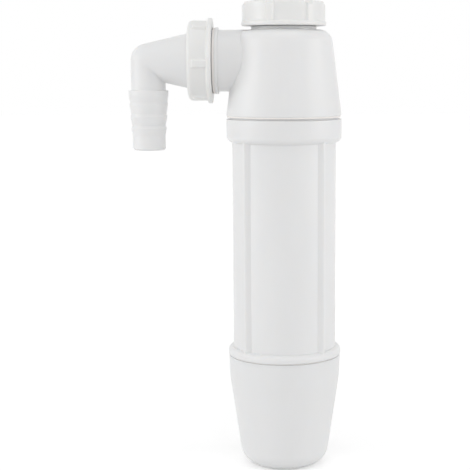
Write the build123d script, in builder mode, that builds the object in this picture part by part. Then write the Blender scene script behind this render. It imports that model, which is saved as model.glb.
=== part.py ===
"""Condensate trap: a tall bottle trap with a screwed inlet, an unscrewing body and cup, and a hose elbow.

Millimetres. The origin is the centre of the cup's flat base, +Z runs up the body to the inlet, and the
outlet points along -X. Threads are plain cylinders at their roots, with the room that the ridges need.
"""

import os
from math import acos, atan2, cos, degrees, hypot, radians, sin, sqrt, tan

from build123d import *

# Clearances
slip_gap = 0.25  # radial, between pieces that turn or slide on each other
seat_gap = 0.1  # radial, between pieces pushed together by hand
pipe_gap = 0.3  # radial, round the inlet pipe
seal_gap = 0.05  # round a seal that just touches

# Threads: the small one is on the inlet neck and the outlet, the large one on the head and the body
small_thread_r = 20.95
small_thread_depth = 1.48
small_thread_gap = 0.15
large_thread_room = 1.4
large_thread_ridge = 1.0

# Sediment cup
cup_height = 73.7
cup_band_height = 14.7
cup_band_draft = 0.55
cup_taper = 8.4
cup_wall = 2.4
cup_floor = 2.6
cup_base_round = 12.0
cup_knee_round = 40.0
cup_rim_wall = 2.4
cup_thread_length = 14.0
cup_seam = 0.6
cup_seal_rebate = 1.2
cup_seal_land = 1.6
cup_edge_round = 0.4

# Body tube, with its ring, corner ribs and collar
tube_r = 33.6
tube_wall = 2.8
barrel_length = 133.9
ring_step = 3.4
ring_height = 5.2
ring_round = 3.2
rim_setback = 0.3
rib_stand = 3.2
rib_edge_round = 1.4
body_thread_length = 12.0
collar_step = 3.65
collar_height = 15.1
collar_round = 4.0
collar_wall = 2.4
collar_floor_thick = 2.6
collar_lip_height = 1.1
collar_lip_width = 0.5
collar_edge_round = 0.4

# Head
head_height = 54.7
head_taper = 7.2
head_shoulder_round = 8.5
head_wall = 2.6
head_edge_round = 0.4
skirt_length = 13.0
skirt_wall = 2.4
head_seal_thick = 1.0
head_seal_setback = 0.5
neck_base_height = 2.0

# Inlet pipe's socket and the dip tube that hangs in it
pipe_r = 16.0
dip_recess_step = 0.6  # the dip tube's recess is this much narrower than the pipe's socket
dip_ledge_width = 1.5
dip_tube_wall = 1.8
dip_tube_bottom = 66.0
dip_flange_thick = 2.0
dip_washer_thick = 1.5
socket_depth = 10.0
sleeve_wall = 2.4
sleeve_length = 7.0

# Union nuts, alike but for their openings
nut_length = 15.5
nut_wall = 4.4
nut_rib_stand = 1.3
nut_rib_count = 6
nut_rib_foot = 7.4
nut_rib_top = 4.0
nut_rib_round = 0.7
nut_flange_step = 1.8
nut_flange_thick = 2.8
nut_flange_fillet = 0.8
nut_flange_round = 0.95
nut_end_wall = 3.0
nut_end_blend = 0.1  # how far outside the nut's side its end rounding starts
nut_standoff = 2.4
inlet_nut_ledge = 1.55
inlet_nut_round = 1.2
inlet_rib_angle = 9.2
outlet_nut_ledge = 3.15
outlet_nut_round = 3.2
outlet_rib_angle = -4.0

# Inlet seal and slip ring
seal_flange_thick = 1.8
seal_lip_stand = 1.5
seal_lip_round = 0.6
slip_ring_thick = 1.2

# Outlet spigot and what the outlet nut clamps
outlet_height = 35.1
outlet_reach = 42.0
outlet_r = 19.7
outlet_thread_wall = 2.9
shoulder_width = 2.0
shoulder_step = 1.5
backing_ring_thick = 1.3
backing_ring_setback = 0.3
backing_gap = 0.5
washer_thick = 1.6
elbow_flange_thick = 2.0
outlet_slip_thick = 1.0

# Elbow and hose tail
elbow_wall = 2.4
elbow_cone_length = 26.1
leg_r = 11.1
leg_wall = 2.5
ball_excess = 0.12  # how far the corner's ball stands out over the leg
tail_top_drop = 18.8
tail_ring_r = 12.8
tail_ring_height = 3.2
barb_count = 3
barb_pitch = 7.5
barb_first_drop = 9.3
barb_rise = 1.8
barb_first_r = 12.35
barb_last_r = 11.5
barb_first_root_r = 12.05
barb_last_root_r = 10.85
tail_end_ramp = 4.6
tail_end_r = 10.65
tail_end_length = 9.6
tail_end_round = 1.8
barb_round = 0.3

# Levels up the body's axis
cup_thread_bottom = cup_height - cup_thread_length
rebate_floor = cup_height - cup_seal_rebate
knee_z = cup_height - cup_band_height
ring_bottom = cup_height + cup_seam
ring_top = ring_bottom + ring_height
body_bottom = ring_bottom - body_thread_length
collar_bottom = ring_top + barrel_length
collar_floor = collar_bottom + collar_floor_thick
collar_top = collar_bottom + collar_height
head_seal_bottom = collar_top + collar_lip_height
head_bottom = head_seal_bottom + head_seal_thick
head_top = head_bottom + head_height
roof_z = head_top - head_wall
skirt_bottom = head_bottom - skirt_length
inlet_nut_bottom = head_top + nut_standoff
inlet_nut_top = inlet_nut_bottom + nut_length
slip_ring_top = inlet_nut_top - nut_end_wall
seal_flange_top = slip_ring_top - slip_ring_thick
neck_top = seal_flange_top - seal_flange_thick
seal_top = inlet_nut_top + seal_lip_stand
dip_flange_top = neck_top - socket_depth
dip_washer_top = dip_flange_top - dip_flange_thick
dip_ledge = dip_washer_top - dip_washer_thick
sleeve_bottom = roof_z - sleeve_length
outlet_z = head_bottom + outlet_height

# Radii
tube_bore_r = tube_r - tube_wall
ring_r = tube_r + ring_step
cup_rim_r = ring_r - rim_setback
cup_thread_r = cup_rim_r - cup_rim_wall
cup_rebate_r = cup_thread_r + cup_seal_land
body_core_r = cup_thread_r - large_thread_room
collar_r = tube_r + collar_step
collar_thread_r = collar_r - collar_wall
collar_lip_r = collar_thread_r + collar_lip_width
rib_half_side = (tube_r + rib_stand) / sqrt(2)
skirt_core_r = collar_thread_r - large_thread_room
skirt_bore_r = skirt_core_r - skirt_wall
skirt_crest_r = skirt_core_r + large_thread_ridge
body_crest_r = body_core_r + large_thread_ridge
head_top_r = collar_r - head_height * tan(radians(head_taper))
small_core_r = small_thread_r - small_thread_depth
nut_bore_r = small_thread_r + small_thread_gap
nut_r = nut_bore_r + nut_wall
inlet_opening_r = nut_bore_r - inlet_nut_ledge
outlet_opening_r = nut_bore_r - outlet_nut_ledge
slip_outer_r = nut_bore_r - slip_gap
seal_lip_r = inlet_opening_r - slip_gap - seat_gap
socket_r = pipe_r + pipe_gap
dip_recess_r = socket_r - dip_recess_step
dip_tube_r = dip_recess_r - dip_ledge_width
dip_bore_r = dip_tube_r - dip_tube_wall
dip_seat_r = dip_tube_r + seat_gap
outlet_bore_r = small_core_r - outlet_thread_wall
shoulder_r = outlet_r + shoulder_step
elbow_flange_r = small_core_r - seal_gap
elbow_barrel_r = outlet_opening_r - slip_gap - seat_gap
elbow_bore_r = elbow_barrel_r - elbow_wall
leg_bore_r = leg_r - leg_wall

# Places along the outlet, measured out from the body's axis
shoulder_face = outlet_reach + shoulder_width
outlet_nut_face = shoulder_face + backing_ring_thick + backing_gap
outlet_nut_end = outlet_nut_face + nut_length
outlet_slip_face = outlet_nut_end - nut_end_wall - outlet_slip_thick
elbow_face = outlet_slip_face - elbow_flange_thick
spigot_end = elbow_face - washer_thick
leg_x = -(outlet_nut_end + elbow_cone_length)

# Levels down the hose tail
tail_top = outlet_z - tail_top_drop
tail_ring_bottom = tail_top - tail_ring_height
last_barb_z = tail_top - barb_first_drop - (barb_count - 1) * barb_pitch
tail_end_top = last_barb_z - tail_end_ramp
tail_bottom = tail_end_top - tail_end_length

outlet_axis = Axis((0, 0, outlet_z), (-1, 0, 0))
leg_axis = Axis((leg_x, 0, outlet_z), (0, 0, -1))


def outlet_plane(reach):
    """Plane square to the outlet's axis, that far out from the body's axis."""
    return Plane(origin=(-reach, 0, outlet_z), x_dir=(0, 1, 0), z_dir=(-1, 0, 0))


def cylinder(plane, radius, length, mode=Mode.ADD):
    """Adds or cuts a cylinder that stands on the plane."""
    with BuildSketch(plane) as disc:
        Circle(radius)
    extrude(disc.sketch, amount=length, mode=mode)


def washer(plane, inner_r, outer_r, thick):
    """Adds a flat ring that lies on the plane."""
    with BuildSketch(plane) as ring:
        Circle(outer_r)
        Circle(inner_r, mode=Mode.SUBTRACT)
    extrude(ring.sketch, amount=thick)


def round_corner(section, corner, radius):
    """Rounds the corner of a section that is nearest to that point."""
    fillet(section.vertices().sort_by_distance(corner)[0], radius=radius)


def union_nut(plane, opening_r, end_round, rib_angle):
    """Adds a ribbed nut whose open end, with the flange, lies on the plane."""
    side = Plane(origin=plane.origin, x_dir=plane.x_dir, z_dir=-plane.y_dir)
    axis = Axis(plane.origin, plane.z_dir)
    rib_r = nut_r + nut_rib_stand
    with BuildSketch(plane) as outline:
        Circle(nut_r)
        with PolarLocations(0, nut_rib_count, start_angle=rib_angle):
            Polygon(
                (nut_r - nut_rib_stand, -nut_rib_foot / 2),
                (rib_r, -nut_rib_top / 2),
                (rib_r, nut_rib_top / 2),
                (nut_r - nut_rib_stand, nut_rib_foot / 2),
                align=None,
            )
        fillet(outline.vertices(), radius=nut_rib_round)
    extrude(outline.sketch, amount=nut_length)
    with BuildSketch(side) as flange:
        Polygon(
            (0, 0),
            (nut_r + nut_flange_step, 0),
            (nut_r + nut_flange_step, nut_flange_thick),
            (nut_r, nut_flange_thick),
            (nut_r, nut_length / 2),
            (0, nut_length / 2),
            align=None,
        )
        fillet(flange.vertices().group_by(Axis.X)[-1], radius=nut_flange_round)
        round_corner(flange, (nut_r, nut_flange_thick), nut_flange_fillet)
    revolve(flange.sketch, axis=axis)
    # The far end is rounded, and the ribs slope down to where the rounding starts
    round_r = nut_r + nut_end_blend
    corner_r = round_r - end_round
    corner_z = nut_length - end_round
    slope_width = 2 * nut_rib_stand
    with BuildSketch(side) as outside:
        with BuildLine():
            CenterArc((corner_r, corner_z), end_round, 0, 90)
            Polyline(
                (corner_r, nut_length),
                (round_r + slope_width, nut_length),
                (round_r + slope_width, corner_z - slope_width),
                (round_r, corner_z),
            )
        make_face()
    revolve(outside.sketch, axis=axis, mode=Mode.SUBTRACT)
    cylinder(plane, nut_bore_r, nut_length - nut_end_wall, Mode.SUBTRACT)
    cylinder(plane, opening_r, nut_length, Mode.SUBTRACT)


def elbow_run(barrel_r, end_r, mode=Mode.ADD):
    """Adds or cuts the elbow's barrel, with the cone that narrows to the ball over the leg."""
    ball_r = end_r + ball_excess
    touch = atan2(barrel_r, elbow_cone_length) + acos(ball_r / hypot(elbow_cone_length, barrel_r))
    with BuildSketch(Plane.XZ) as run:
        with BuildLine():
            CenterArc((leg_x, outlet_z), ball_r, degrees(touch), 180 - degrees(touch))
            Polyline(
                (leg_x - ball_r, outlet_z),
                (-elbow_face, outlet_z),
                (-elbow_face, outlet_z + barrel_r),
                (-outlet_nut_end, outlet_z + barrel_r),
                (leg_x + ball_r * cos(touch), outlet_z + ball_r * sin(touch)),
            )
        make_face()
    revolve(run.sketch, axis=outlet_axis, mode=mode)


# Sediment cup: a flat base, a tapered side and an upright band with the rim's thread and seal rebate
side_slope = tan(radians(cup_taper))
knee_r = cup_rim_r - cup_band_draft
base_corner_r = knee_r - knee_z * side_slope
floor_corner_r = base_corner_r + cup_floor * side_slope - cup_wall
inner_top_r = min(base_corner_r + cup_thread_bottom * side_slope, knee_r) - cup_wall
with BuildPart() as sediment_cup:
    with BuildSketch(Plane.XZ) as section:
        Polygon(
            (0, 0),
            (base_corner_r, 0),
            (knee_r, knee_z),
            (cup_rim_r, cup_height),
            (cup_rebate_r, cup_height),
            (cup_rebate_r, rebate_floor),
            (cup_thread_r, rebate_floor),
            (cup_thread_r, cup_thread_bottom),
            (inner_top_r, cup_thread_bottom),
            (floor_corner_r, cup_floor),
            (0, cup_floor),
            align=None,
        )
        round_corner(section, (base_corner_r, 0), cup_base_round)
        round_corner(section, (knee_r, knee_z), cup_knee_round)
        round_corner(section, (floor_corner_r, cup_floor), cup_base_round - cup_wall)
        round_corner(section, (cup_rim_r, cup_height), cup_edge_round)
    revolve(axis=Axis.Z)

# Seal between the cup's rim and the ring above it
with BuildPart() as cup_seal:
    washer(
        Plane.XY.offset(rebate_floor),
        body_crest_r + slip_gap,
        cup_rebate_r - seat_gap,
        ring_bottom - rebate_floor,
    )

# Body tube: threaded lower end, ring, tube with four corner ribs, and the collar that screws onto the head
with BuildPart() as body_tube:
    with BuildSketch(Plane.XZ) as section:
        with BuildLine():
            Polyline(
                (tube_r, collar_bottom),
                (tube_r, ring_top),
                (ring_r, ring_top),
                (ring_r, ring_bottom),
                (body_core_r, ring_bottom),
                (body_core_r, body_bottom),
                (tube_bore_r, body_bottom),
                (tube_bore_r, collar_floor),
                (collar_thread_r, collar_floor),
                (collar_thread_r, head_seal_bottom),
                (collar_lip_r, head_seal_bottom),
                (collar_lip_r, collar_top),
                (collar_r, collar_top),
                (collar_r, collar_bottom + collar_round),
            )
            RadiusArc((collar_r, collar_bottom + collar_round), (tube_r, collar_bottom), collar_round)
        make_face()
        round_corner(section, (ring_r, ring_top), ring_round)
        round_corner(section, (ring_r, ring_bottom), collar_edge_round)
        round_corner(section, (collar_r, collar_top), collar_edge_round)
    revolve(axis=Axis.Z)
    with BuildSketch(Plane.XY.offset(ring_top - ring_round)) as corners:
        Rectangle(2 * rib_half_side, 2 * rib_half_side)
        fillet(corners.vertices(), radius=rib_edge_round)
        Circle(tube_r - tube_wall / 2, mode=Mode.SUBTRACT)
    extrude(amount=collar_floor - ring_top + ring_round)

# Seal between the collar's lip and the head
with BuildPart() as head_seal:
    washer(
        Plane.XY.offset(head_seal_bottom),
        skirt_crest_r + slip_gap,
        collar_r - head_seal_setback,
        head_seal_thick,
    )

# Head: a bell with a threaded skirt below, the inlet neck on top and the outlet spigot at its side
with BuildPart() as trap_head:
    with BuildSketch(Plane.XZ) as section:
        Polygon(
            (0, head_bottom),
            (collar_r, head_bottom),
            (head_top_r, head_top),
            (0, head_top),
            align=None,
        )
        round_corner(section, (head_top_r, head_top), head_shoulder_round)
        round_corner(section, (collar_r, head_bottom), head_edge_round)
    revolve(axis=Axis.Z)
    cylinder(Plane.XY.offset(skirt_bottom), skirt_core_r, skirt_length)
    cylinder(Plane.XY.offset(head_top), small_thread_r, neck_base_height)
    cylinder(Plane.XY.offset(head_top), small_core_r, neck_top - head_top)
    cylinder(outlet_plane(0), outlet_r, outlet_reach)
    cylinder(outlet_plane(outlet_reach), shoulder_r, shoulder_width)
    cylinder(outlet_plane(shoulder_face), small_core_r, spigot_end - shoulder_face)
    with BuildSketch(Plane.XZ) as hollow:
        Polygon(
            (0, skirt_bottom),
            (skirt_bore_r, skirt_bottom),
            (skirt_bore_r, head_bottom),
            (head_top_r - head_wall, roof_z),
            (0, roof_z),
            align=None,
        )
        round_corner(hollow, (head_top_r - head_wall, roof_z), head_shoulder_round - head_wall)
    revolve(axis=Axis.Z, mode=Mode.SUBTRACT)
    cylinder(outlet_plane(0), outlet_bore_r, spigot_end, Mode.SUBTRACT)
    cylinder(Plane.XY.offset(sleeve_bottom), dip_seat_r + sleeve_wall, sleeve_length)
    cylinder(Plane.XY.offset(sleeve_bottom), dip_seat_r, neck_top - sleeve_bottom, Mode.SUBTRACT)
    cylinder(Plane.XY.offset(dip_ledge), dip_recess_r, neck_top - dip_ledge, Mode.SUBTRACT)
    cylinder(Plane.XY.offset(dip_flange_top), socket_r, socket_depth, Mode.SUBTRACT)

# Dip tube, whose flange rests on a washer in the neck
with BuildPart() as dip_tube:
    cylinder(Plane.XY.offset(dip_tube_bottom), dip_tube_r, dip_flange_top - dip_tube_bottom)
    cylinder(Plane.XY.offset(dip_washer_top), dip_recess_r - seat_gap, dip_flange_thick)
    cylinder(Plane.XY.offset(dip_tube_bottom), dip_bore_r, dip_flange_top - dip_tube_bottom, Mode.SUBTRACT)

with BuildPart() as dip_washer:
    washer(Plane.XY.offset(dip_ledge), dip_tube_r + seat_gap, dip_recess_r - seat_gap, dip_washer_thick)

# Inlet: the seal stands on the neck with its lip out through the nut, and a slip ring lies on its flange
with BuildPart() as inlet_seal:
    with BuildSketch(Plane.XZ) as section:
        Polygon(
            (socket_r, neck_top),
            (slip_outer_r, neck_top),
            (slip_outer_r, seal_flange_top),
            (seal_lip_r, seal_flange_top),
            (seal_lip_r, seal_top),
            (socket_r, seal_top),
            align=None,
        )
        fillet(section.vertices().group_by(Axis.Y)[-1], radius=seal_lip_round)
    revolve(axis=Axis.Z)

with BuildPart() as inlet_slip_ring:
    washer(Plane.XY.offset(seal_flange_top), seal_lip_r + slip_gap, slip_outer_r, slip_ring_thick)

with BuildPart() as inlet_nut:
    union_nut(Plane.XY.offset(inlet_nut_bottom), inlet_opening_r, inlet_nut_round, inlet_rib_angle)

# Outlet: a ring behind the nut, and inside it a washer, the elbow's flange and a slip ring
with BuildPart() as outlet_backing_ring:
    washer(
        outlet_plane(shoulder_face),
        small_core_r + seat_gap,
        shoulder_r - backing_ring_setback,
        backing_ring_thick,
    )

with BuildPart() as outlet_washer:
    washer(outlet_plane(spigot_end), outlet_bore_r, elbow_flange_r, washer_thick)

with BuildPart() as outlet_slip_ring:
    washer(outlet_plane(outlet_slip_face), elbow_barrel_r + slip_gap, slip_outer_r, outlet_slip_thick)

with BuildPart() as outlet_nut:
    union_nut(outlet_plane(outlet_nut_face), outlet_opening_r, outlet_nut_round, outlet_rib_angle)

# Hose elbow: a flange, a barrel and cone, a ball corner, and a leg that ends in the barbed hose tail
barb_span = max(barb_count - 1, 1)
tail_points = [(leg_r, tail_top), (tail_ring_r, tail_top), (tail_ring_r, tail_ring_bottom)]
for barb in range(barb_count):
    share = barb / barb_span
    peak_z = tail_top - barb_first_drop - barb * barb_pitch
    root_r = barb_first_root_r + (barb_last_root_r - barb_first_root_r) * share
    peak_r = barb_first_r + (barb_last_r - barb_first_r) * share
    tail_points += [(root_r, peak_z + barb_rise), (peak_r, peak_z)]
tail_points += [(tail_end_r, tail_end_top), (tail_end_r, tail_bottom)]
with BuildPart() as hose_elbow:
    elbow_run(elbow_barrel_r, leg_r)
    cylinder(outlet_plane(elbow_face), elbow_flange_r, elbow_flange_thick)
    with BuildSketch(Plane.XZ) as section:
        Polygon(
            (leg_x, tail_bottom),
            (leg_x, outlet_z),
            (leg_x + leg_r, outlet_z),
            *[(leg_x + radius, level) for radius, level in tail_points],
            align=None,
        )
        round_corner(section, (leg_x + tail_end_r, tail_bottom), tail_end_round)
        for radius, level in tail_points[:-2]:
            round_corner(section, (leg_x + radius, level), barb_round)
    revolve(section.sketch, axis=leg_axis)
    elbow_run(elbow_bore_r, leg_bore_r, Mode.SUBTRACT)
    cylinder(Plane(origin=(leg_x, 0, tail_bottom)), leg_bore_r, outlet_z - tail_bottom, Mode.SUBTRACT)

pieces = {
    "sediment_cup": sediment_cup,
    "cup_seal": cup_seal,
    "body_tube": body_tube,
    "head_seal": head_seal,
    "trap_head": trap_head,
    "dip_tube": dip_tube,
    "dip_washer": dip_washer,
    "inlet_seal": inlet_seal,
    "inlet_slip_ring": inlet_slip_ring,
    "inlet_nut": inlet_nut,
    "outlet_backing_ring": outlet_backing_ring,
    "outlet_washer": outlet_washer,
    "outlet_slip_ring": outlet_slip_ring,
    "outlet_nut": outlet_nut,
    "hose_elbow": hose_elbow,
}
os.makedirs("parts", exist_ok=True)
for name, piece in pieces.items():
    piece.part.label = name
    export_step(piece.part, f"parts/{name}.step")
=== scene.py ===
"""Condensate trap: finishes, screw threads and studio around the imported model.

Metres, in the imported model's own frame: the origin is the centre of the cup's flat base, +Z runs up the
body's axis to the inlet, and the outlet points along -X.
"""

import logging
from collections.abc import Iterable
from dataclasses import dataclass, field
from enum import Enum
from math import cos, pi, radians, sin, tau

import bmesh
import bpy
from mathutils import Matrix, Vector


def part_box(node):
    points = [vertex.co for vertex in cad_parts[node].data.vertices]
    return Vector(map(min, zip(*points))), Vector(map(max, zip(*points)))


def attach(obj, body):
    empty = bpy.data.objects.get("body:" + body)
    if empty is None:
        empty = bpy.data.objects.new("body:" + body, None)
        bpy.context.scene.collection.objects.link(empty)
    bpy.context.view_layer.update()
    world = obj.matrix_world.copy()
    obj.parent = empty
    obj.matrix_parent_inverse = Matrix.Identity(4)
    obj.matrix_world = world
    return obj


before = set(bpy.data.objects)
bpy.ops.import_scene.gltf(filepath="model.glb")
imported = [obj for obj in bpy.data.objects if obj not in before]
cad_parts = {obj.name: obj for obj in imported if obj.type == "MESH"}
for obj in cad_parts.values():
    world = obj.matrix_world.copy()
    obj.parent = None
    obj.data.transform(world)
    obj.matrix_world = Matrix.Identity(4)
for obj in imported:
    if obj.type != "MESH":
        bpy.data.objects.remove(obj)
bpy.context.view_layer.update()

MM = 0.001
UP = Vector((0.0, 0.0, 1.0))
OUT = Vector((-1.0, 0.0, 0.0))
UNIT = (0.0, 1.0)
NOISE_MIDDLE = (0.35, 0.65)
log = logging.getLogger("condensate_trap")


class Slot(Enum):
    """The record's material slots."""

    WHITE_MOULDING = "white_moulding"
    NUT_MOULDING = "nut_moulding"
    SLIP_PLASTIC = "slip_plastic"
    CREAM_RUBBER = "cream_rubber"
    WHITE_RUBBER = "white_rubber"
    DARK_RUBBER = "dark_rubber"


class ThreadSide(Enum):
    """Which way a thread's ridge stands from its root."""

    OUTSIDE = 1
    INSIDE = -1


class Wiring:
    """A node tree with short calls for adding and joining its nodes."""

    def __init__(self, tree: bpy.types.NodeTree) -> None:
        """Takes the tree that the calls work on."""
        self.tree = tree

    def add(self, kind: str, inputs: dict[str, object] | None = None, **settings: object) -> bpy.types.Node:
        """Adds one node.

        Args:
            kind: Blender's name for the node's type.
            inputs: what each named input gets, a plain value or another node's output.
            settings: the node's own properties.

        Returns:
            The new node.
        """
        node = self.tree.nodes.new(kind)
        for name, value in settings.items():
            setattr(node, name, value)
        for name, value in (inputs or {}).items():
            self.feed(node.inputs[name], value)
        return node

    def feed(self, socket: bpy.types.NodeSocket, value: object) -> None:
        """Sets an input to a plain value, or links it to an output.

        Args:
            socket: the input.
            value: a number, a colour, a vector or an output socket.
        """
        if isinstance(value, bpy.types.NodeSocket):
            self.tree.links.new(value, socket)
        else:
            socket.default_value = value

    def math(self, operation: str, first: object, second: object = 0.0) -> bpy.types.NodeSocket:
        """Adds a Math node.

        Args:
            operation: the node's operation.
            first: its first input.
            second: its second input.

        Returns:
            The node's output.
        """
        node = self.add("ShaderNodeMath", operation=operation)
        self.feed(node.inputs[0], first)
        self.feed(node.inputs[1], second)
        return node.outputs[0]

    def remap(
        self, value: object, start: tuple[float, float], end: tuple[object, object]
    ) -> bpy.types.NodeSocket:
        """Maps a value from one range to another, held at both ends.

        Args:
            value: what is mapped.
            start: the range that comes in.
            end: the range that goes out, numbers or outputs.

        Returns:
            The mapped output.
        """
        names = ("From Min", "From Max", "To Min", "To Max")
        limits = dict(zip(names, start + end))
        return self.add("ShaderNodeMapRange", {"Value": value, **limits}).outputs["Result"]

    def noise(self, vector: object, scale: object, detail: float) -> bpy.types.NodeSocket:
        """Adds a noise texture.

        Args:
            vector: the coordinates.
            scale: features for each metre.
            detail: octaves of finer noise.

        Returns:
            The noise's value.
        """
        settings = {"Vector": vector, "Scale": scale, "Detail": detail}
        return self.add("ShaderNodeTexNoise", settings).outputs[0]

    def blend(self, factor: object, first: object, second: object) -> bpy.types.NodeSocket:
        """Mixes two colours.

        Args:
            factor: 0 for the first and 1 for the second.
            first: a colour.
            second: a colour.

        Returns:
            The mixed colour.
        """
        node = self.add("ShaderNodeMix", data_type="RGBA")
        self.feed(node.inputs["Factor"], factor)
        for socket, color in zip([s for s in node.inputs if s.type == "RGBA"], (first, second)):
            self.feed(socket, color)
        return next(s for s in node.outputs if s.type == "RGBA")


def effect_group(
    name: str, inputs: dict[str, float], outputs: Iterable[str]
) -> tuple[Wiring, bpy.types.Node, bpy.types.Node]:
    """Starts a shader node group.

    Args:
        name: the group's name.
        inputs: each input's name and its usual value.
        outputs: the outputs' names.

    Returns:
        The group's wiring, its input node and its output node.
    """
    tree = bpy.data.node_groups.new(name, "ShaderNodeTree")
    for label, value in inputs.items():
        socket = tree.interface.new_socket(label, in_out="INPUT", socket_type="NodeSocketFloat")
        socket.default_value = value
    for label in outputs:
        tree.interface.new_socket(label, in_out="OUTPUT", socket_type="NodeSocketFloat")
    wiring = Wiring(tree)
    return wiring, wiring.add("NodeGroupInput"), wiring.add("NodeGroupOutput")


@dataclass
class Effects:
    """The effects that several finishes share, each a node group that is built once."""

    groups: dict[str, bpy.types.NodeTree] = field(default_factory=dict)
    flow_stretch: tuple[float, float, float] = (1.0, 1.0, 0.3)
    streak_tilt: tuple[float, float, float] = (0.4, 0.3, 0.0)
    streak_stretch: tuple[float, float, float] = (1.0, 1.0, 7.0)
    patch_scale: float = 24.0
    rub_start: float = 0.4
    rub_reach: tuple[float, float] = (0.0, 0.12)

    def moulded_skin(self) -> bpy.types.NodeTree:
        """The fine peel and the slow flow marks of a moulded surface, the flow drawn out along the body.

        Returns:
            A group that puts out Peel and Flow, both from 0 to 1.
        """
        if "moulded_skin" not in self.groups:
            usual = {"Peel Scale": 700.0, "Flow Scale": 30.0}
            wiring, given, result = effect_group("moulded_skin", usual, ("Peel", "Flow"))
            place = wiring.add("ShaderNodeTexCoord").outputs["Object"]
            drawn = wiring.add("ShaderNodeMapping", {"Vector": place, "Scale": self.flow_stretch}).outputs[0]
            wiring.feed(result.inputs["Peel"], wiring.noise(place, given.outputs["Peel Scale"], detail=2.0))
            wiring.feed(result.inputs["Flow"], wiring.noise(drawn, given.outputs["Flow Scale"], detail=3.0))
            self.groups["moulded_skin"] = wiring.tree
        return self.groups["moulded_skin"]

    def handling_marks(self) -> bpy.types.NodeTree:
        """Faint rubbed streaks, where a soft plastic has slid in its box.

        Returns:
            A group that puts out Rubbed, from 0 to 1.
        """
        if "handling_marks" not in self.groups:
            usual = {"Streak Scale": 90.0, "Share": 0.35}
            wiring, given, result = effect_group("handling_marks", usual, ("Rubbed",))
            place = wiring.add("ShaderNodeTexCoord").outputs["Object"]
            slant = {"Vector": place, "Rotation": self.streak_tilt, "Scale": self.streak_stretch}
            slanted = wiring.add("ShaderNodeMapping", slant).outputs[0]
            streak = wiring.noise(slanted, given.outputs["Streak Scale"], detail=4.0)
            patch = wiring.noise(place, self.patch_scale, detail=1.0)
            plain_share = wiring.math("SUBTRACT", 1.0, given.outputs["Share"])
            left_plain = wiring.math("MULTIPLY", plain_share, self.rub_start)
            rubbed = wiring.math("SUBTRACT", wiring.math("MULTIPLY", streak, patch), left_plain)
            wiring.feed(result.inputs["Rubbed"], wiring.remap(rubbed, self.rub_reach, UNIT))
            self.groups["handling_marks"] = wiring.tree
        return self.groups["handling_marks"]

    def rubber_bloom(self) -> bpy.types.NodeTree:
        """The dusty bloom and the fine pits of seal rubber.

        Returns:
            A group that puts out Bloom and Pits, both from 0 to 1.
        """
        if "rubber_bloom" not in self.groups:
            usual = {"Bloom Scale": 160.0, "Pit Scale": 2600.0}
            wiring, given, result = effect_group("rubber_bloom", usual, ("Bloom", "Pits"))
            place = wiring.add("ShaderNodeTexCoord").outputs["Object"]
            bloom = wiring.noise(place, given.outputs["Bloom Scale"], detail=3.0)
            wiring.feed(result.inputs["Bloom"], wiring.remap(bloom, NOISE_MIDDLE, UNIT))
            wiring.feed(result.inputs["Pits"], wiring.noise(place, given.outputs["Pit Scale"], detail=1.0))
            self.groups["rubber_bloom"] = wiring.tree
        return self.groups["rubber_bloom"]


EFFECTS = Effects()


def start_material(name: str) -> tuple[bpy.types.Material, Wiring, bpy.types.Node]:
    """Starts a material that holds one Principled shader.

    Args:
        name: the material's name.

    Returns:
        The material, its wiring and the shader.
    """
    material = bpy.data.materials.new(name)
    material.use_nodes = True
    return material, Wiring(material.node_tree), material.node_tree.nodes["Principled BSDF"]


@dataclass(frozen=True)
class MouldedPlastic:
    """Injection-moulded polypropylene: smooth, a little waxy, with soft gloss."""

    slot: Slot
    color: tuple[float, float, float]
    flow_color: tuple[float, float, float]
    gloss_roughness: float
    rubbed_roughness: float
    peel_scale: float = 700.0
    peel_depth: float = 0.02 * MM
    roughness_drift: tuple[float, float] = (-0.02, 0.03)
    waxy_share: float = 0.3
    waxy_depth: float = 3.0 * MM
    waxy_spread: tuple[float, float, float] = (1.0, 0.9, 0.8)
    crease_round: float = 0.45 * MM
    crease_samples: int = 8
    ior: float = 1.49

    def name(self) -> str:
        """The material's name."""
        return self.slot.value

    def crease_radius(self, wiring: Wiring) -> object:
        """How far the shading of creases and edges is rounded.

        Args:
            wiring: the material's tree.

        Returns:
            One radius for the whole piece.
        """
        return self.crease_round

    def material(self) -> bpy.types.Material:
        """Builds the finish.

        Returns:
            The material.
        """
        material, wiring, shader = start_material(self.name())
        skin = wiring.add("ShaderNodeGroup", node_tree=EFFECTS.moulded_skin())
        wiring.feed(skin.inputs["Peel Scale"], self.peel_scale)
        marks = wiring.add("ShaderNodeGroup", node_tree=EFFECTS.handling_marks())
        flow = wiring.remap(skin.outputs["Flow"], NOISE_MIDDLE, UNIT)
        color = wiring.blend(flow, (*self.color, 1.0), (*self.flow_color, 1.0))
        wiring.feed(shader.inputs["Base Color"], color)
        wear = self.rubbed_roughness - self.gloss_roughness
        rubbed = wiring.math("MULTIPLY", marks.outputs["Rubbed"], wear)
        drift_range = tuple(self.gloss_roughness + change for change in self.roughness_drift)
        drift = wiring.remap(flow, UNIT, drift_range)
        wiring.feed(shader.inputs["Roughness"], wiring.math("ADD", drift, rubbed))
        radius = self.crease_radius(wiring)
        crease = wiring.add("ShaderNodeBevel", {"Radius": radius}, samples=self.crease_samples)
        relief = {"Distance": self.peel_depth, "Height": skin.outputs["Peel"], "Normal": crease.outputs[0]}
        bump = wiring.add("ShaderNodeBump", relief)
        wiring.feed(shader.inputs["Normal"], bump.outputs["Normal"])
        shader.inputs["IOR"].default_value = self.ior
        shader.inputs["Subsurface Weight"].default_value = self.waxy_share
        shader.inputs["Subsurface Scale"].default_value = self.waxy_depth
        shader.inputs["Subsurface Radius"].default_value = self.waxy_spread
        return material


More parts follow.
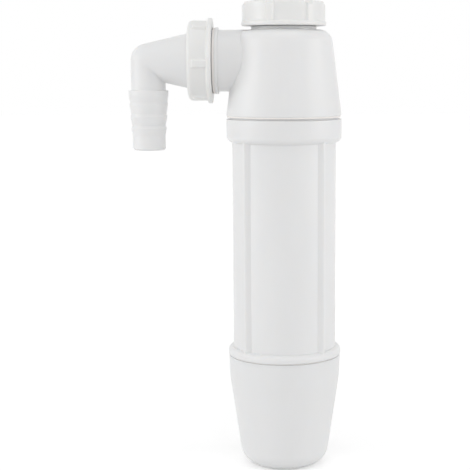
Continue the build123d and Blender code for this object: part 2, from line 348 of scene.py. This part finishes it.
@dataclass(frozen=True)
class ElbowPlastic(MouldedPlastic):
    """Moulded plastic that is crisp on the hose tail and flows softly round the corner above it."""

    crease_round: float = 0.2 * MM
    corner_round: float = 2.4 * MM
    corner_reach: tuple[float, float] = field(kw_only=True)

    def name(self) -> str:
        """The material's name."""
        return "elbow_moulding"

    def crease_radius(self, wiring: Wiring) -> object:
        """How far the shading of creases and edges is rounded.

        Args:
            wiring: the material's tree.

        Returns:
            A radius that grows from the tail to the corner.
        """
        place = wiring.add("ShaderNodeTexCoord").outputs["Object"]
        height = wiring.add("ShaderNodeSeparateXYZ", {"Vector": place}).outputs["Z"]
        return wiring.remap(height, self.corner_reach, (self.crease_round, self.corner_round))


@dataclass(frozen=True)
class SealRubber:
    """Matt seal rubber with a dusty bloom."""

    slot: Slot
    color: tuple[float, float, float]
    bloom_color: tuple[float, float, float]
    roughness: float = 0.62
    bloom_roughness: float = 0.12
    pit_depth: float = 0.015 * MM

    def material(self) -> bpy.types.Material:
        """Builds the finish.

        Returns:
            The material.
        """
        material, wiring, shader = start_material(self.slot.value)
        bloom = wiring.add("ShaderNodeGroup", node_tree=EFFECTS.rubber_bloom())
        color = wiring.blend(bloom.outputs["Bloom"], (*self.color, 1.0), (*self.bloom_color, 1.0))
        wiring.feed(shader.inputs["Base Color"], color)
        dusty = (self.roughness, self.roughness + self.bloom_roughness)
        wiring.feed(shader.inputs["Roughness"], wiring.remap(bloom.outputs["Bloom"], UNIT, dusty))
        bump = wiring.add("ShaderNodeBump", {"Distance": self.pit_depth, "Height": bloom.outputs["Pits"]})
        wiring.feed(shader.inputs["Normal"], bump.outputs["Normal"])
        return material


WHITE_PLASTIC = MouldedPlastic(
    Slot.WHITE_MOULDING,
    color=(0.87, 0.87, 0.87),
    flow_color=(0.85, 0.85, 0.85),
    gloss_roughness=0.36,
    rubbed_roughness=0.48,
)
NUT_PLASTIC = MouldedPlastic(
    Slot.NUT_MOULDING,
    color=(0.88, 0.88, 0.87),
    flow_color=(0.86, 0.86, 0.85),
    gloss_roughness=0.34,
    rubbed_roughness=0.46,
)
SLIP_PLASTIC = MouldedPlastic(
    Slot.SLIP_PLASTIC,
    color=(0.82, 0.83, 0.8),
    flow_color=(0.79, 0.8, 0.77),
    gloss_roughness=0.5,
    rubbed_roughness=0.6,
    waxy_share=0.12,
)
CREAM_RUBBER = SealRubber(Slot.CREAM_RUBBER, color=(0.93, 0.89, 0.86), bloom_color=(0.95, 0.915, 0.89))
WHITE_RUBBER = SealRubber(Slot.WHITE_RUBBER, color=(0.8, 0.8, 0.79), bloom_color=(0.84, 0.84, 0.83))
DARK_RUBBER = SealRubber(Slot.DARK_RUBBER, color=(0.045, 0.045, 0.045), bloom_color=(0.09, 0.09, 0.085))
FINISHES = (WHITE_PLASTIC, NUT_PLASTIC, SLIP_PLASTIC, CREAM_RUBBER, WHITE_RUBBER, DARK_RUBBER)


@dataclass(frozen=True)
class Thread:
    """One screw pair's pitch and the section of its ridges."""

    pitch: float
    ridge: float
    foot: float
    crest: float
    shoulder: float = 0.78
    shoulder_spread: float = 1.25
    crown: float = 0.7
    run_out: float = pi / 2
    steps_a_turn: int = 72
    fewest_steps: int = 8
    sink: float = 0.08 * MM

    def section(self, root: float, side: ThreadSide, share: float) -> list[tuple[float, float]]:
        """The ridge's section where it stands at a share of its full height.

        Args:
            root: radius of the surface that the ridge stands on.
            side: which way it stands.
            share: 0 where it runs out and 1 along its length.

        Returns:
            Points as radius and place along the axis.
        """
        way = side.value
        height = self.ridge * share
        foot_half, crest_half = self.foot / 2, self.crest / 2
        spread = (1 - self.shoulder) * self.shoulder_spread
        rise = [
            (-self.sink, foot_half),
            (height * self.shoulder, crest_half + (foot_half - crest_half) * spread),
            (height, crest_half * self.crown),
        ]
        lower = [(root + way * up, -half) for up, half in rise]
        upper = [(root + way * up, half) for up, half in reversed(rise)]
        return lower + upper

    def build(
        self, name: str, base: Vector, axis: Vector, root: float, span: tuple[float, float],
        side: ThreadSide, phase: float,
    ) -> bpy.types.Object:
        """Builds a right-hand ridge along an axis.

        Args:
            name: the piece's name.
            base: a point on the axis.
            axis: the axis's direction.
            root: radius of the surface that the ridge stands on.
            span: where the ridge starts and ends along the axis from the base.
            side: which way the ridge stands from its root.
            phase: the angle that the helix has at the base.

        Returns:
            The ridge as a mesh object.
        """
        across = axis.orthogonal().normalized()
        upright = axis.cross(across)
        inset = self.foot / 2
        turn = (span[1] - span[0] - 2 * inset) / self.pitch * tau
        steps = max(self.fewest_steps, round(turn / tau * self.steps_a_turn))
        mesh = bmesh.new()
        rings = []
        for step in range(steps + 1):
            wound = turn * step / steps
            share = min(1.0, wound / self.run_out, (turn - wound) / self.run_out)
            smooth = share * share * (3 - 2 * share)
            along = span[0] + inset + self.pitch * wound / tau
            angle = phase + along / self.pitch * tau
            spoke = across * cos(angle) + upright * sin(angle)
            points = self.section(root, side, smooth)
            rings.append([mesh.verts.new(base + spoke * r + axis * (along + shift)) for r, shift in points])
        for first, second in zip(rings, rings[1:]):
            for corner in range(len(first)):
                after = (corner + 1) % len(first)
                mesh.faces.new((first[corner], first[after], second[after], second[corner]))
        mesh.faces.new(rings[0])
        mesh.faces.new(rings[-1])
        bmesh.ops.recalc_face_normals(mesh, faces=mesh.faces)
        return finish_mesh(name, mesh)


SMALL_THREAD = Thread(pitch=2.309 * MM, ridge=1.3 * MM, foot=1.25 * MM, crest=0.45 * MM)
LARGE_THREAD = Thread(pitch=4.0 * MM, ridge=1.0 * MM, foot=2.0 * MM, crest=0.9 * MM)


def finish_mesh(name: str, mesh: bmesh.types.BMesh, smooth_angle: float = radians(40)) -> bpy.types.Object:
    """Turns a bmesh into a smooth-shaded object in the scene.

    Args:
        name: the object's name.
        mesh: its geometry, which is freed.
        smooth_angle: edges that turn by more than this stay sharp.

    Returns:
        The new object.
    """
    data = bpy.data.meshes.new(name)
    mesh.to_mesh(data)
    mesh.free()
    data.shade_smooth()
    data.set_sharp_from_angle(angle=smooth_angle)
    piece = bpy.data.objects.new(name, data)
    bpy.context.scene.collection.objects.link(piece)
    return piece


@dataclass
class SubAssembly:
    """What every sub-assembly shares: its nodes' finishes, and the way new pieces join a body."""

    materials: dict[Slot, bpy.types.Material]

    def dress(self, slot: Slot, *nodes: str) -> None:
        """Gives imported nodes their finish.

        Args:
            slot: the finish.
            nodes: the nodes' names.
        """
        for name in nodes:
            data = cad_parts[name].data
            data.materials.clear()
            data.materials.append(self.materials[slot])
            log.info("dressed %s in %s", name, slot.value)

    def add(self, piece: bpy.types.Object, slot: Slot, body: str) -> None:
        """Finishes a new piece and lets it ride on a body.

        Args:
            piece: the new piece.
            slot: its finish.
            body: the body that carries it.
        """
        piece.data.materials.append(self.materials[slot])
        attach(piece, body)
        log.info("added %s on %s", piece.name, body)


@dataclass
class Head(SubAssembly):
    """The bell-shaped head with all that stays on it."""

    neck_root: float = 19.47 * MM
    skirt_root: float = 33.45 * MM
    thread_margin: float = 0.6 * MM
    seat_room: float = 1.8 * MM

    def build(self) -> None:
        """Dresses the head's nodes and cuts its three outside threads."""
        self.dress(Slot.WHITE_MOULDING, "trap_head", "dip_tube")
        self.dress(Slot.DARK_RUBBER, "dip_washer", "outlet_washer")
        self.dress(Slot.CREAM_RUBBER, "outlet_backing_ring")
        self.neck_thread()
        self.spigot_thread()
        self.skirt_thread()

    def neck_thread(self) -> None:
        """Adds the ridge on the inlet neck."""
        nut_low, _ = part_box("inlet_nut")
        _, head_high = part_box("trap_head")
        span = (nut_low.z + self.thread_margin, head_high.z - self.thread_margin)
        ridge = SMALL_THREAD.build(
            "neck_thread", Vector(), UP, self.neck_root, span, ThreadSide.OUTSIDE, 0.0
        )
        self.add(ridge, Slot.WHITE_MOULDING, "head")

    def spigot_thread(self) -> None:
        """Adds the ridge on the outlet spigot."""
        _, nut_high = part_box("outlet_nut")
        spigot_low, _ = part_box("trap_head")
        span = (-nut_high.x + self.thread_margin, -spigot_low.x - self.thread_margin)
        ridge = SMALL_THREAD.build(
            "spigot_thread", outlet_centre(), OUT, self.neck_root, span, ThreadSide.OUTSIDE, 0.0
        )
        self.add(ridge, Slot.WHITE_MOULDING, "head")

    def skirt_thread(self) -> None:
        """Adds the ridge on the skirt that the body tube screws onto."""
        skirt_low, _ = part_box("trap_head")
        seal_low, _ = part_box("head_seal")
        span = (skirt_low.z + self.thread_margin, seal_low.z - self.seat_room)
        ridge = LARGE_THREAD.build(
            "skirt_thread", Vector(), UP, self.skirt_root, span, ThreadSide.OUTSIDE, 0.0
        )
        self.add(ridge, Slot.WHITE_MOULDING, "head")


def outlet_centre() -> Vector:
    """The point where the outlet's axis crosses the body's axis."""
    low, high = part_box("outlet_washer")
    return Vector((0.0, 0.0, (low.z + high.z) / 2))


@dataclass
class InletUnion(SubAssembly):
    """The top nut with its slip ring and seal."""

    nut_root: float = 21.1 * MM
    mouth: float = 0.8 * MM
    seat_room: float = 0.4 * MM

    def build(self) -> None:
        """Dresses the nodes and cuts the nut's inside thread."""
        self.dress(Slot.NUT_MOULDING, "inlet_nut")
        self.dress(Slot.SLIP_PLASTIC, "inlet_slip_ring")
        self.dress(Slot.WHITE_RUBBER, "inlet_seal")
        nut_low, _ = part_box("inlet_nut")
        seal_low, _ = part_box("inlet_seal")
        span = (nut_low.z + self.mouth, seal_low.z - self.seat_room)
        ridge = SMALL_THREAD.build(
            "inlet_nut_thread", Vector(), UP, self.nut_root, span, ThreadSide.INSIDE, pi
        )
        self.add(ridge, Slot.NUT_MOULDING, "inlet_nut")


@dataclass
class OutletUnion(SubAssembly):
    """The side nut with its slip ring."""

    nut_root: float = 21.1 * MM
    mouth: float = 0.8 * MM

    def build(self) -> None:
        """Dresses the nodes and cuts the nut's inside thread."""
        self.dress(Slot.NUT_MOULDING, "outlet_nut")
        self.dress(Slot.SLIP_PLASTIC, "outlet_slip_ring")
        _, nut_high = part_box("outlet_nut")
        spigot_low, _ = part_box("trap_head")
        span = (-nut_high.x + self.mouth, -spigot_low.x)
        ridge = SMALL_THREAD.build(
            "outlet_nut_thread", outlet_centre(), OUT, self.nut_root, span, ThreadSide.INSIDE, pi
        )
        self.add(ridge, Slot.NUT_MOULDING, "outlet_nut")


@dataclass
class BodyTube(SubAssembly):
    """The ribbed tube with its collar and lower end."""

    collar_root: float = 34.85 * MM
    lower_root: float = 32.9 * MM
    margin: float = 0.8 * MM
    seat_room: float = 1.6 * MM

    def build(self) -> None:
        """Dresses the nodes and cuts the collar's inside and the lower end's outside thread."""
        self.dress(Slot.WHITE_MOULDING, "body_tube")
        self.dress(Slot.CREAM_RUBBER, "head_seal")
        skirt_low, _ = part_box("trap_head")
        collar_seal_low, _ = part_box("head_seal")
        span = (skirt_low.z + self.margin, collar_seal_low.z - self.seat_room)
        collar = LARGE_THREAD.build(
            "collar_thread", Vector(), UP, self.collar_root, span, ThreadSide.INSIDE, pi
        )
        self.add(collar, Slot.WHITE_MOULDING, "body")
        tube_low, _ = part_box("body_tube")
        rim_seal_low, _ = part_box("cup_seal")
        span = (tube_low.z + self.margin, rim_seal_low.z - self.margin)
        lower = LARGE_THREAD.build(
            "tube_thread", Vector(), UP, self.lower_root, span, ThreadSide.OUTSIDE, 0.0
        )
        self.add(lower, Slot.WHITE_MOULDING, "body")


@dataclass
class SedimentCup(SubAssembly):
    """The screw-off cup with its rim seal."""

    rim_root: float = 34.3 * MM
    margin: float = 0.8 * MM

    def build(self) -> None:
        """Dresses the nodes and cuts the cup's inside thread."""
        self.dress(Slot.WHITE_MOULDING, "sediment_cup")
        self.dress(Slot.CREAM_RUBBER, "cup_seal")
        tube_low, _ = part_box("body_tube")
        seal_low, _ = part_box("cup_seal")
        span = (tube_low.z - self.margin, seal_low.z - self.margin)
        ridge = LARGE_THREAD.build("cup_thread", Vector(), UP, self.rim_root, span, ThreadSide.INSIDE, pi)
        self.add(ridge, Slot.WHITE_MOULDING, "cup")


@dataclass
class HoseElbow(SubAssembly):
    """The swivelling elbow with its hose tail."""

    leg_drop: float = 18.0 * MM
    leg_fade: float = 3.0 * MM

    def build(self) -> None:
        """Dresses the elbow, with a finish that knows how far its plain leg hangs under the outlet."""
        leg_foot = outlet_centre().z - self.leg_drop
        soft_corner = ElbowPlastic(
            WHITE_PLASTIC.slot,
            color=WHITE_PLASTIC.color,
            flow_color=WHITE_PLASTIC.flow_color,
            gloss_roughness=WHITE_PLASTIC.gloss_roughness,
            rubbed_roughness=WHITE_PLASTIC.rubbed_roughness,
            corner_reach=(leg_foot, leg_foot + self.leg_fade),
        )
        self.materials = self.materials | {soft_corner.slot: soft_corner.material()}
        self.dress(soft_corner.slot, "hose_elbow")


@dataclass(frozen=True)
class SoftBox:
    """One large soft lamp."""

    name: str
    place: tuple[float, float, float]
    aim: tuple[float, float, float]
    size: tuple[float, float]
    power: float

    def build(self) -> None:
        """Hangs the lamp and points it."""
        data = bpy.data.lights.new(self.name, "AREA")
        data.shape = "RECTANGLE"
        data.size, data.size_y = self.size
        data.energy = self.power
        lamp = bpy.data.objects.new(self.name, data)
        lamp.location = self.place
        lamp.rotation_euler = (Vector(self.aim) - Vector(self.place)).to_track_quat("-Z", "Y").to_euler()
        bpy.context.scene.collection.objects.link(lamp)


@dataclass
class Studio:
    """Camera, lamps, white surroundings and floor."""

    image_width: float = 470.0
    focal_pixels: float = 1247.0
    axis_pixel: float = 284.25
    eye: tuple[float, float, float] = (0.0, -0.810, 0.263)
    pitch_down: float = radians(7.77)
    roll: float = radians(-0.13)
    sensor: float = 36.0
    floor_half: float = 6.0
    floor_drop: float = 0.1 * MM
    floor_color: float = 0.9
    floor_mottle: float = 0.01
    mottle_scale: float = 40.0
    mottle_reach: tuple[float, float] = (0.3, 0.7)
    floor_roughness: float = 0.9
    floor_gloss: float = 0.1
    near_glow: float = 0.32
    far_glow: float = 0.48
    glow_reach: tuple[float, float] = (0.1, 1.0)
    world_color: float = 1.0
    front_light: float = 0.88
    side_light: float = 0.40
    back_light: float = 0.75
    front_reach: tuple[float, float] = (-0.6, -0.4)
    back_reach: tuple[float, float] = (0.4, 0.6)
    lamps: tuple[SoftBox, ...] = (
        SoftBox("left_softbox", place=(-1.5, -0.35, 0.35), aim=(0.0, 0.0, 0.16), size=(0.9, 1.3), power=7.8),
        SoftBox("right_softbox", place=(1.5, -0.35, 0.35), aim=(0.0, 0.0, 0.16), size=(0.9, 1.3), power=7.3),
        SoftBox("top_softbox", place=(0.0, -0.3, 1.7), aim=(0.0, 0.0, 0.15), size=(1.2, 1.2), power=4.0),
    )

    def build(self) -> None:
        """Sets up everything around the object."""
        bpy.context.scene.view_settings.view_transform = "Standard"
        self.place_camera()
        self.surround()
        self.lay_floor()
        for lamp in self.lamps:
            lamp.build()

    def place_camera(self) -> None:
        """Puts the camera where the photograph's stood."""
        data = bpy.data.cameras.new("camera")
        data.sensor_width = self.sensor
        data.lens = self.focal_pixels * self.sensor / self.image_width
        data.shift_x = (self.image_width / 2 - self.axis_pixel) / self.image_width
        camera = bpy.data.objects.new("camera", data)
        tilt = Matrix.Rotation(pi / 2 - self.pitch_down, 4, "X")
        camera.matrix_world = Matrix.Translation(self.eye) @ tilt @ Matrix.Rotation(self.roll, 4, "Z")
        bpy.context.scene.collection.objects.link(camera)
        bpy.context.scene.camera = camera

    def surround(self) -> None:
        """Makes the surroundings white to the eye, with less light from the sides than front and back."""
        world = bpy.data.worlds.new("surroundings")
        world.use_nodes = True
        bpy.context.scene.world = world
        wiring = Wiring(world.node_tree)
        way = wiring.add("ShaderNodeTexCoord").outputs["Generated"]
        depth = wiring.add("ShaderNodeSeparateXYZ", {"Vector": way}).outputs["Y"]
        ahead = wiring.remap(depth, self.front_reach, (self.front_light, self.side_light))
        light = wiring.remap(depth, self.back_reach, (ahead, self.back_light))
        strength = wiring.remap(self.seen_ray(wiring), UNIT, (light, 1.0))
        background = world.node_tree.nodes["Background"]
        background.inputs["Color"].default_value = (self.world_color,) * 3 + (1.0,)
        wiring.feed(background.inputs["Strength"], strength)

    def seen_ray(self, wiring: Wiring) -> bpy.types.NodeSocket:
        """Tells rays that show the background from rays that light the object.

        Args:
            wiring: the tree that needs to know.

        Returns:
            1 for camera, glossy and transmission rays, and 0 for the rest.
        """
        path = wiring.add("ShaderNodeLightPath")
        direct = wiring.math("MAXIMUM", path.outputs["Is Camera Ray"], path.outputs["Is Glossy Ray"])
        return wiring.math("MAXIMUM", direct, path.outputs["Is Transmission Ray"])

    def lay_floor(self) -> None:
        """Lays a pale floor that keeps the object's shadow and looks white where nothing shades it."""
        mesh = bmesh.new()
        half = self.floor_half
        corners = ((-half, -half), (half, -half), (half, half), (-half, half))
        mesh.faces.new([mesh.verts.new((x, y, -self.floor_drop)) for x, y in corners])
        floor = finish_mesh("floor", mesh)
        material, wiring, shader = start_material("pale_floor")
        place = wiring.add("ShaderNodeTexCoord").outputs["Object"]
        tones = (self.floor_color - self.floor_mottle, self.floor_color + self.floor_mottle)
        mottle = wiring.noise(place, self.mottle_scale, detail=2.0)
        wiring.feed(shader.inputs["Base Color"], wiring.remap(mottle, self.mottle_reach, tones))
        shader.inputs["Roughness"].default_value = self.floor_roughness
        shader.inputs["Specular IOR Level"].default_value = self.floor_gloss
        shader.inputs["Emission Color"].default_value = (1.0, 1.0, 1.0, 1.0)
        away = wiring.add("ShaderNodeVectorMath", {"Vector": place}, operation="LENGTH").outputs["Value"]
        glow = wiring.remap(away, self.glow_reach, (self.near_glow, self.far_glow))
        wiring.feed(shader.inputs["Emission Strength"], wiring.math("MULTIPLY", self.seen_ray(wiring), glow))
        floor.data.materials.append(material)


def main() -> None:
    """Builds every sub-assembly, then the studio."""
    logging.basicConfig(level=logging.INFO, format="%(name)s: %(message)s")
    materials = {finish.slot: finish.material() for finish in FINISHES}
    for kind in (Head, InletUnion, OutletUnion, BodyTube, SedimentCup, HoseElbow):
        kind(materials).build()
    Studio().build()


if __name__ == "__main__":
    main()
